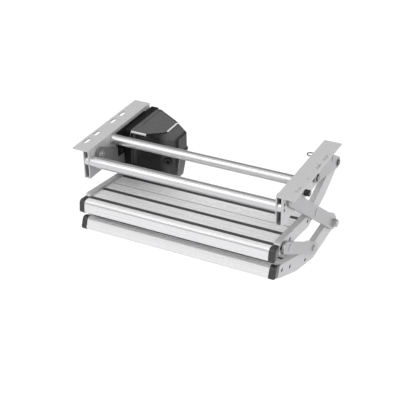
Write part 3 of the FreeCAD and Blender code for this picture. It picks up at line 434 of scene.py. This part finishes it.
def bars(name, rows, radius, proud, length, material):
    # rows are (first place, pitch, count); bars lie across, sunk so that only their crowns show
    tree = Pattern(name)
    size = tree.ask("Radius", "Float", radius)
    stand = tree.ask("Proud", "Float", proud)
    long = tree.ask("Length", "Float", length)
    profile = tree.node("GeometryNodeCurvePrimitiveCircle", {"mode": "RADIUS"}, {
        "Resolution": roundSides["bar"], "Radius": size})
    spine = tree.node("GeometryNodeCurvePrimitiveLine", {}, {
        "Start": tree.vector(long * -0.5), "End": tree.vector(long * 0.5)})
    bar = tree.node("GeometryNodeCurveToMesh", {}, {
        "Curve": spine, "Profile Curve": profile, "Fill Caps": True})
    joined = tree.nodeTree.nodes.new("GeometryNodeJoinGeometry")
    for first, pitch, count in rows:
        line = tree.node("GeometryNodeMeshLine", {"mode": "OFFSET"}, {
            "Count": count, "Start Location": tree.vector(0.0, first, stand - size),
            "Offset": (0, pitch, 0)})
        tree.nodeTree.links.new(line.socket, joined.inputs[0])
    placed = tree.node("GeometryNodeInstanceOnPoints", {}, {
        "Points": Wire(tree, joined.outputs[0]), "Instance": bar})
    return tree.grow(placed, material)


def plankRows(look):
    half = look["ridgePitch"] * look["ridgeCount"] / 2
    edges = [(at - half, at + half) for at in look["stripAt"]]
    half = look["grooveWidth"] / 2
    edges.append((look["grooveAt"] - half, look["grooveAt"] + half))
    edges.append((look["depth"], look["depth"]))
    edges.sort()
    rows = []
    for (_, start), (end, _) in zip(edges, edges[1:]):
        room = end - start - 2 * look["margin"]
        count = int(room / look["ribPitch"]) + 1
        spare = (room - (count - 1) * look["ribPitch"]) / 2
        rows.append((start + look["margin"] + spare, look["ribPitch"], count))
    return rows


def dressTread(stepName, look):
    tread = Tread(stepName, look)
    body = stepName + "_step"
    length = 2 * (tread.halfWidth - look["endGap"])

    def lay(name, rows, kind, raised, material, slotName):
        mesh = bars(stepName + name, rows, look[kind + "Radius"], look[kind + "Proud"],
                    length, material)
        mesh.transform(Matrix.Translation(tread.upWay * raised) @ tread.matrix())
        addPiece(stepName + name, mesh, body, slotName)

    metal, rubber = finishes["tread_aluminium"], finishes["grip_rubber"]
    first = look["ridgePitch"] * (look["ridgeCount"] - 1) / 2
    ridges = [(at - first, look["ridgePitch"], look["ridgeCount"]) for at in look["stripAt"]]
    lay("PlankRibs", plankRows(look), "rib", 0.0, metal, "tread_aluminium")
    lay("StripRidges", ridges, "ridge", look["stripProud"], rubber, "grip_rubber")
    lay("JointSeal", [(look["grooveAt"], 0, 1)], "seal", 0.0, rubber, "grip_rubber")
    # the nose's line is painted shade, standing for a darker reflection
    lay("NoseLine", [(look["lineAt"][0], 0, 1)], "line", look["lineAt"][1], noseShadeMetal,
        "tread_aluminium")


for stepName in ("upper", "lower"):
    dressTread(stepName, treadLook)
print("treads dressed")


# Screws: heads with a hexagon socket on threaded shanks, set where the frame has them

screwLook = {
    "sides": 24,
    "socketFlat": 0.42,      # across half the socket's flats, as a share of the head's radius
    "socketDepth": 0.55,     # as a share of the head's radius
    "pitch": 0.0010,
    "threadDepth": 0.00022,
    "ringsPerTurn": 4,
    "topFlat": 0.93,         # the rest are shares of the head's radius, height or socket
    "sunkEdge": 0.06,
    "roundEdge": 0.25,
    "socketMouth": (0.05, 1.06),
    "socketTip": (1.2, 0.3),
    "turnStep": 0.4,         # radians between one screw's socket and the next
}


def ringRadius(radius, flats, angle):  # a round ring, or a hexagon where flats is true
    if not flats:
        return radius
    return radius / math.cos((angle % (math.pi / 3)) - math.pi / 6)


def turned(rings, sides, pitch=0.0):
    # rings are (place along X, radius, six flats or round, depth of the thread there)
    tool = bmesh.new()
    loops = []
    for x, radius, flats, thread in rings:
        loop = []
        for index in range(sides):
            angle = 2 * math.pi * index / sides
            size = ringRadius(radius, flats, angle)
            if thread:
                turn = (x / pitch + index / sides) % 1.0
                size -= thread * abs(2 * turn - 1)
            loop.append(tool.verts.new((x, size * math.cos(angle), size * math.sin(angle))))
        loops.append(loop)
    for before, after in zip(loops, loops[1:]):
        for index in range(sides):
            nextOne = (index + 1) % sides
            tool.faces.new((before[index], before[nextOne], after[nextOne], after[index]))
    tool.faces.new(loops[0][::-1])
    tool.faces.new(loops[-1])
    bmesh.ops.recalc_face_normals(tool, faces=tool.faces)
    mesh = bpy.data.meshes.new("turned")
    tool.to_mesh(mesh)
    tool.free()
    return mesh


def screwMesh(length, shankRadius, headRadius, headHeight, sunk, look):
    # the head's outer face is at X = 0 and the shank runs towards -X
    pitch, depth = look["pitch"], look["threadDepth"]
    steps = int((length - headHeight) / pitch * look["ringsPerTurn"])
    rings = [(-length, shankRadius - 2 * depth, False, 0)]
    for index in range(steps):
        x = -length + (length - headHeight) * (index + 0.5) / steps
        rings.append((x, shankRadius, False, depth))
    rings.append((-headHeight, shankRadius, False, 0))
    if sunk:
        rings.append((-look["sunkEdge"] * headRadius, headRadius, False, 0))
    else:
        rings.append((-headHeight, headRadius, False, 0))
        rings.append((-look["roundEdge"] * headHeight, headRadius, False, 0))
    rings.append((0, look["topFlat"] * headRadius, False, 0))
    flat = look["socketFlat"] * headRadius
    deep = look["socketDepth"] * headRadius
    mouthDrop, mouth = look["socketMouth"]
    tipDepth, tip = look["socketTip"]
    rings += [(0, mouth * flat, True, 0), (-mouthDrop * headRadius, flat, True, 0),
              (-deep, flat, True, 0), (-tipDepth * deep, tip * flat, False, 0)]
    return turned(rings, look["sides"], pitch)


def scatter(name, spots, turns, sample, material):  # one copy of the sample at each spot
    places = bpy.data.meshes.new(name + "Places")
    places.from_pydata(spots, [], [])
    turn = places.attributes.new("turn", "FLOAT_VECTOR", "POINT")
    turn.data.foreach_set("vector", [value for row in turns for value in row])
    tree = Pattern(name)
    points = tree.ask("Places", "Geometry", None)
    copied = tree.ask("Copied", "Object", sample)
    shape = tree.node("GeometryNodeObjectInfo", {}, {"Object": copied}, 4)
    facing = tree.node("GeometryNodeInputNamedAttribute", {"data_type": "FLOAT_VECTOR"}, {
        "Name": "turn"})
    placed = tree.node("GeometryNodeInstanceOnPoints", {}, {
        "Points": points, "Instance": shape, "Rotation": facing})
    mesh = tree.grow(placed, material, places)
    bpy.data.objects.remove(sample)
    return mesh


def screwSet(part, look):
    spans = [spanOf(solid) for solid in solidsOf(part["node"])]
    low, high = spans[0]
    radius = (high.y - low.y) / 2
    height = radius - part["shank"] if part["sunk"] else part["shank"]
    head = screwMesh(high.x - low.x, part["shank"], radius, height, part["sunk"], look)
    sample = newPiece(part["name"] + "Sample", head)
    spots, turns = [], []
    for number, (low, high) in enumerate(spans):
        if part["bothWays"]:
            spot, turn = endOf(low, high)
        else:  # every head faces +X
            middle = (low + high) / 2
            spot, turn = (high.x, middle.y, middle.z), (0.0, 0.0, 0.0)
        spots.append(spot)
        turns.append((look["turnStep"] * number, 0.0, turn[2]))
    mesh = scatter(part["name"], spots, turns, sample, darkScrewSteel)
    addPiece(part["name"], mesh, part["body"], "fastener_steel", part["node"])


screws = (
    {"name": "railTubeScrews", "node": "tube_screws", "body": "frame",
     "sunk": True, "shank": 0.002, "bothWays": True},
    {"name": "upperTreadScrews", "node": "upper_side_screws", "body": "upper_step",
     "sunk": True, "shank": 0.0024, "bothWays": True},
    {"name": "lowerTreadScrews", "node": "lower_side_screws", "body": "lower_step",
     "sunk": True, "shank": 0.0024, "bothWays": True},
    {"name": "motorPlateScrews", "node": "motor_plate_screws", "body": "frame",
     "sunk": False, "shank": 0.002, "bothWays": False},
)
for part in screws:
    screwSet(part, screwLook)
print("screws set")


# Pins and bolts: a turned ring and a centre pip on each head, and stud ends in the stops

faceLook = {
    "sides": 36,
    "proud": 0.0003,
    "sunk": 0.0005,
    "ring": (1.0, 0.94, 0.80, 0.74),     # its outer and inner edges, as shares of its radius
    "ringShoulder": 0.6,                 # as shares of how proud it stands
    "pip": (0.26, 0.20),
    "pipShoulder": 0.7,
    "floor": 0.3,                        # as a share of how deep it is sunk
}
turnedFaces = (
    {"name": "mainPivotFaces", "node": "main_pivot_pins", "body": "frame", "radius": 0.0062},
    {"name": "rearPivotFace", "node": "rear_pivot_pin", "body": "frame", "radius": 0.0066},
    {"name": "upperPivotFaces", "node": "upper_pivot_pins", "body": "main_arms", "radius": 0.0062},
    {"name": "lowerPivotFaces", "node": "lower_pivot_pins", "body": "main_arms", "radius": 0.0068},
    {"name": "linkPivotFaces", "node": "link_pivot_pins", "body": "upper_step", "radius": 0.0062},
    {"name": "lowerBoltFaces", "node": "lower_link_bolts", "body": "lower_links", "radius": 0.0042},
    {"name": "rearBoltFaces", "node": "rear_link_bolts", "body": "rear_links", "radius": 0.0042},
    {"name": "shaftFace", "node": "output_shaft", "body": "rear_links", "radius": 0.0052},
    {"name": "bumperFaces", "node": "stop_bumpers", "body": "frame", "radius": 0.0042},
)


def faceMesh(radius, look):  # lies on a flat head that faces +X
    proud, floor = look["proud"], -look["floor"] * look["sunk"]
    outer, outerTop, innerTop, inner = [share * radius for share in look["ring"]]
    foot, tip = [share * radius for share in look["pip"]]
    ringEdge, pipEdge = look["ringShoulder"] * proud, look["pipShoulder"] * proud
    outline = [(-look["sunk"], outer), (ringEdge, outer), (proud, outerTop), (proud, innerTop),
               (ringEdge, inner), (floor, inner), (floor, foot), (pipEdge, foot), (proud, tip)]
    return turned([(x, size, False, 0) for x, size in outline], look["sides"])


def dressHeads(part, look):
    ends = [endOf(*spanOf(solid)) for solid in solidsOf(part["node"])]
    sample = newPiece(part["name"] + "Sample", faceMesh(part["radius"], look))
    mesh = scatter(part["name"], [spot for spot, _ in ends], [turn for _, turn in ends],
                   sample, finishes["fastener_steel"])
    addPiece(part["name"], mesh, part["body"], "fastener_steel")


for part in turnedFaces:
    dressHeads(part, faceLook)


# Threads on the pins' inner ends, where they stand out of their nuts

threadLook = {
    "sides": 24,
    "pitch": 0.00125,
    "reach": 0.0024,
    "crest": 0.00014,        # the crests stand out of the pin this much
    "depth": 0.0004,
    "ringsPerTurn": 8,
    "firstRing": 0.4,        # its place, in steps from the pin's end
}


def threadMesh(radius, look):  # runs along +X from the pin's inner end
    count = int(look["reach"] / look["pitch"] * look["ringsPerTurn"])
    step = look["reach"] / count
    crest = radius + look["crest"]
    rings = [(look["firstRing"] * step, radius - look["depth"], False, 0)]
    rings += [(step * (index + 1), crest, False, look["depth"]) for index in range(count)]
    rings.append((look["reach"] + step, radius - look["depth"], False, 0))
    return turned(rings, look["sides"], look["pitch"])


def cutThreads(name, node, body, look):
    spots, turns = [], []
    for corners in solidsOf(node):
        spot, turn = endOf(*spanOf(corners), outer=False)
        low, high = spanOf([c for c in corners if abs(c.x - spot[0]) < look["reach"]])
        middle = (low + high) / 2
        spots.append((spot[0], middle.y, middle.z))
        turns.append(turn)
    sample = newPiece(name + "Sample", threadMesh((high.z - low.z) / 2, look))
    addPiece(name, scatter(name, spots, turns, sample, pivotSteel), body, "fastener_steel")


cutThreads("mainPinThreads", "main_pivot_pins", "frame", threadLook)
cutThreads("rearPinThread", "rear_pivot_pin", "frame", threadLook)
print("heads and threads turned")


# Motor housing: beads round its seam and along the cover's top edge, painted highlights
# and a painted glint on its edges, ribs on the base and a rim round the grommet

housingLook = {
    "front": 0.003,          # places along Y
    "rear": 0.132,
    "rearTop": 0.125,
    "top": -0.008,           # levels along Z
    "shoulder": -0.021,
    "bottom": -0.122,
    "beads": (-0.1897, -0.1822, -0.1789),  # places along X
    "beadRadius": 0.0011,
    "beadProud": 0.0005,
    "seamAt": (-0.1805,),
    "seamRadius": 0.0013,
    "seamProud": 0.0002,
    "edgeRadius": 0.0024,
    "edgeDrop": 0.0020,
    "edgeProud": 0.0002,     # how much more than the edge's bead a bright line shows
    # painted highlights and a painted glint: light-coloured lines that stand for reflections, each from one
    # point to another
    "paintedHighlights": (((-0.187, 0.0032, -0.010), (-0.150, 0.0032, -0.010)),
                 ((-0.1155, 0.034, -0.010), (-0.1155, 0.082, -0.010))),
    "cornerSheen": (((-0.0872, 0.034, -0.065), (-0.0916, 0.034, -0.093)),),
    "ribsAt": -0.1985,       # their middle along X
    "ribPitch": 0.006,
    "ribCount": 20,
    "ribRadius": 0.0011,
    "ribProud": 0.0005,
    "ribLength": 0.0120,
    "rimAt": 0.0058,         # from the grommet's axis
    "rimRadius": 0.0011,
    "rimSides": 32,
}


def outlineMesh(name, corners, closed):
    mesh = bpy.data.meshes.new(name)
    edges = [(index, index + 1) for index in range(len(corners) - 1)]
    if closed:
        edges.append((len(corners) - 1, 0))
    mesh.from_pydata(corners, edges, [])
    return mesh


def sweep(name, outline, places, radius, material):
    # the outline is swept with a round profile and set at each place along X
    tree = Pattern(name)
    path = tree.ask("Outline", "Geometry", None)
    size = tree.ask("Radius", "Float", radius)
    curve = tree.node("GeometryNodeMeshToCurve", {}, {"Mesh": path})
    profile = tree.node("GeometryNodeCurvePrimitiveCircle", {"mode": "RADIUS"}, {
        "Resolution": roundSides["bead"], "Radius": size})
    bead = tree.node("GeometryNodeCurveToMesh", {}, {
        "Curve": curve, "Profile Curve": profile, "Fill Caps": True})
    joined = tree.nodeTree.nodes.new("GeometryNodeJoinGeometry")
    for place in places:
        point = tree.node("GeometryNodeMeshLine", {"mode": "OFFSET"}, {
            "Count": 1, "Start Location": tree.vector(place)})
        tree.nodeTree.links.new(point.socket, joined.inputs[0])
    placed = tree.node("GeometryNodeInstanceOnPoints", {}, {
        "Points": Wire(tree, joined.outputs[0]), "Instance": bead})
    return tree.grow(placed, material, outline)


def seamLoop(look, sunk):  # the housing's outline across X, moved inwards
    front, rear, rearTop = look["front"] + sunk, look["rear"] - sunk, look["rearTop"] - sunk
    top, bottom = look["top"] - sunk, look["bottom"] + sunk
    return [(0, front, bottom), (0, front, top), (0, rearTop, top),
            (0, rear, look["shoulder"]), (0, rear, bottom)]


def coverEdge(look):  # the edge of the cover's flat top, from the seam round to the seam
    corners = [v.co for v in nodes["motor_cover"].data.vertices]
    flat = [Vector((c.x, c.y)) for c in corners if c.z > look["top"] - near["level"]]
    loop = [flat[index] for index in convex_hull_2d(flat)]
    seam = min(c.x for c in loop) + near["level"]
    start = next(index for index, c in enumerate(loop)
                 if c.x < seam and loop[index - 1].x < seam)
    loop = loop[start:] + loop[:start]
    return [(c.x, c.y, look["top"] - look["edgeDrop"]) for c in loop]


def grommetRim(look):  # a glossy bead on the grommet's outer face, which leans to the front
    mesh = nodes["cable_grommet"].data
    facing = [face for face in mesh.polygons if face.normal.y < -0.5]
    way = max(facing, key=lambda face: face.area).normal.copy()
    corners = [v.co.copy() for v in mesh.vertices]
    outermost = max(c.dot(way) for c in corners) - near["level"]
    rim = [c for c in corners if c.dot(way) > outermost]
    middle = sum(rim, Vector()) / len(rim)
    across = way.cross(Vector((0, 0, 1))).normalized()
    upwards = across.cross(way)
    loop = []
    for index in range(look["rimSides"]):
        angle = 2 * math.pi * index / look["rimSides"]
        spoke = across * math.cos(angle) + upwards * math.sin(angle)
        loop.append(middle + look["rimAt"] * spoke)
    bead = sweep("grommetRim", outlineMesh("grommetCircle", loop, True), (0.0,),
                 look["rimRadius"], finishes["bumper_rubber"])
    addPiece("grommetRim", bead, "frame", "bumper_rubber")


def dressHousing(look):
    def lay(name, corners, closed, places, radius, material):
        outline = outlineMesh(name + "Line", corners, closed)
        addPiece(name, sweep(name, outline, places, radius, material), "frame",
                 "housing_plastic")

    loop = seamLoop(look, look["beadRadius"] - look["beadProud"])
    lay("housingBeads", loop, True, look["beads"], look["beadRadius"], edgeGloss)
    loop = seamLoop(look, look["seamRadius"] - look["seamProud"])
    lay("housingSeam", loop, True, look["seamAt"], look["seamRadius"], deepPlastic)
    lay("coverTopBead", coverEdge(look), False, (0.0,), look["edgeRadius"], deepPlastic)
    # light-coloured lines on the cover's edges, painted highlights and a painted glint
    paintedLines = [("polishedEdge", ends, polishedEdge) for ends in look["paintedHighlights"]]
    paintedLines += [("wornEdge", ends, wornEdge) for ends in look["cornerSheen"]]
    for number, (kind, ends, finish) in enumerate(paintedLines, 1):
        lay(kind + str(number), ends, False, (0.0,), look["edgeRadius"] + look["edgeProud"],
            finish)
    first = look["front"] + look["ribPitch"]
    ribs = bars("baseRibs", [(first, look["ribPitch"], look["ribCount"])], look["ribRadius"],
                look["ribProud"], look["ribLength"], deepPlastic)
    ribs.transform(Matrix.Translation((look["ribsAt"], 0, look["top"])))
    addPiece("baseRibs", ribs, "frame", "housing_plastic")
    grommetRim(look)


dressHousing(housingLook)
print("housing dressed")


# Studio

photoCamera = {
    "target": (0.0660, -0.1300, -0.0652),
    "azimuth": 27.007,       # degrees round from the front towards the right
    "elevation": 31.145,
    "roll": -0.682,
    "distance": 2.0331,
    "lens": 87.506,          # millimetres, for a sensor 36 mm wide
    "sensor": 36.0,
    "clip": (0.05, 50),
}


def placeCamera(look):
    azimuth, elevation = math.radians(look["azimuth"]), math.radians(look["elevation"])
    roll = math.radians(look["roll"])
    back = Vector((math.sin(azimuth) * math.cos(elevation),
                   -math.cos(azimuth) * math.cos(elevation), math.sin(elevation)))
    right = Vector((math.cos(azimuth), math.sin(azimuth), 0))
    up = back.cross(right)
    right, up = (right * math.cos(roll) + up * math.sin(roll),
                 up * math.cos(roll) - right * math.sin(roll))
    camera = bpy.data.objects.new("photoCamera", bpy.data.cameras.new("photoCamera"))
    camera.data.lens = look["lens"]
    camera.data.sensor_width = look["sensor"]
    camera.data.clip_start, camera.data.clip_end = look["clip"]
    turn = Matrix((right, up, back)).transposed().to_4x4()
    place = Vector(look["target"]) + back * look["distance"]
    camera.matrix_world = Matrix.Translation(place) @ turn
    scene.collection.objects.link(camera)
    scene.camera = camera


studio = {
    "floorLevel": -0.45,     # under the lower step when it is folded out
    "floorSize": 8.0,
    "floorWhite": 0.62,
    "air": 0.78,             # the world as a lamp, at the horizon and below
    "sky": 1.65,             # what the zenith has more
    "white": 1.0,            # the world as the camera and reflections see it
    "floorGlow": 1.07,       # the floor as they see it
    "floorShare": 0.88,      # share of that glow; the rest is lit and keeps the shadow
}
greyCard = {
    "middle": (-0.5, 1.25, 1.0),
    "size": (5.0, 2.4),
    "tilt": 130.0,           # degrees up from lying flat: it leans back and faces the step
    "shade": 0.30,
}
lamps = {
    "keyLamp": {"place": (-1.1, -2.4, 1.5), "size": (1.7, 1.2), "power": 4.0},
    "sideLamp": {"place": (2.2, -0.7, 0.7), "size": (0.5, 1.4), "power": 6},
    "sparkLamp": {"place": (-0.95, -1.45, 1.8), "size": (0.26, 0.26), "power": 4.5},
}


def seenDirectly(tree):  # one for the camera, reflections and clear materials
    path = tree.node("ShaderNodeLightPath")
    rays = path.socket.node.outputs
    seen = Wire(tree, rays["Is Camera Ray"]) + Wire(tree, rays["Is Glossy Ray"])
    return tree.math("MINIMUM", seen + Wire(tree, rays["Is Transmission Ray"]), 1.0)


def paintAir(look):
    scene.world = bpy.data.worlds.new("studioAir")
    scene.world.use_nodes = True
    tree = Tree(scene.world.node_tree)
    way = tree.node("ShaderNodeTexCoord", output="Generated")
    height = tree.node("ShaderNodeSeparateXYZ", {}, {"Vector": way}, 2)
    lit = look["air"] + look["sky"] * tree.math("MAXIMUM", height, 0.0)
    strength = lit + seenDirectly(tree) * (look["white"] - lit)
    light = tree.node("ShaderNodeBackground", {}, {"Color": (1, 1, 1, 1), "Strength": strength})
    tree.node("ShaderNodeOutputWorld", {}, {"Surface": light})


def addSheet(name, width, depth):  # a flat sheet that faces up
    mesh = bpy.data.meshes.new(name)
    mesh.from_pydata([(-width / 2, -depth / 2, 0), (width / 2, -depth / 2, 0),
                      (width / 2, depth / 2, 0), (-width / 2, depth / 2, 0)],
                     [], [(0, 1, 2, 3)])
    sheet = newPiece(name, mesh)
    return sheet


def layFloor(look):
    floor = addSheet("paleFloor", look["floorSize"], look["floorSize"])
    floor.data.transform(Matrix.Translation((0, 0, look["floorLevel"])))
    tree = Finish("paleFloor")
    matt = tree.node("ShaderNodeBsdfDiffuse", {}, {"Color": grey(look["floorWhite"])})
    glow = tree.node("ShaderNodeEmission", {}, {"Color": grey(1.0), "Strength": look["floorGlow"]})
    share = seenDirectly(tree) * look["floorShare"]
    shown = tree.node("ShaderNodeMixShader", {}, {0: share, 1: matt, 2: glow})
    tree.node("ShaderNodeOutputMaterial", {}, {"Surface": shown})
    floor.data.materials.append(tree.material)


def standCard(look):  # a dark card behind the step, which only reflections see
    card = addSheet("greyCard", *look["size"])
    tilt = Matrix.Rotation(math.radians(look["tilt"]), 4, "X")
    card.data.transform(Matrix.Translation(look["middle"]) @ tilt)
    tree = Finish("greyCard")
    shade = tree.node("ShaderNodeEmission", {}, {"Color": grey(1.0), "Strength": look["shade"]})
    tree.node("ShaderNodeOutputMaterial", {}, {"Surface": shade})
    card.data.materials.append(tree.material)
    card.visible_camera = card.visible_diffuse = False
    card.visible_transmission = card.visible_shadow = False


def hangLamp(name, look):
    lamp = bpy.data.objects.new(name, bpy.data.lights.new(name, "AREA"))
    lamp.data.shape = "RECTANGLE"
    lamp.data.size, lamp.data.size_y = look["size"]
    lamp.data.energy = look["power"]
    place = Vector(look["place"])
    away = place - Vector(photoCamera["target"])  # a lamp shines along its own -Z
    aim = away.to_track_quat("Z", "Y").to_matrix().to_4x4()
    lamp.matrix_world = Matrix.Translation(place) @ aim
    scene.collection.objects.link(lamp)


placeCamera(photoCamera)
paintAir(studio)
layFloor(studio)
standCard(greyCard)
for lampName, lampLook in lamps.items():
    hangLamp(lampName, lampLook)
scene.view_settings.view_transform = "Standard"
print("studio ready")
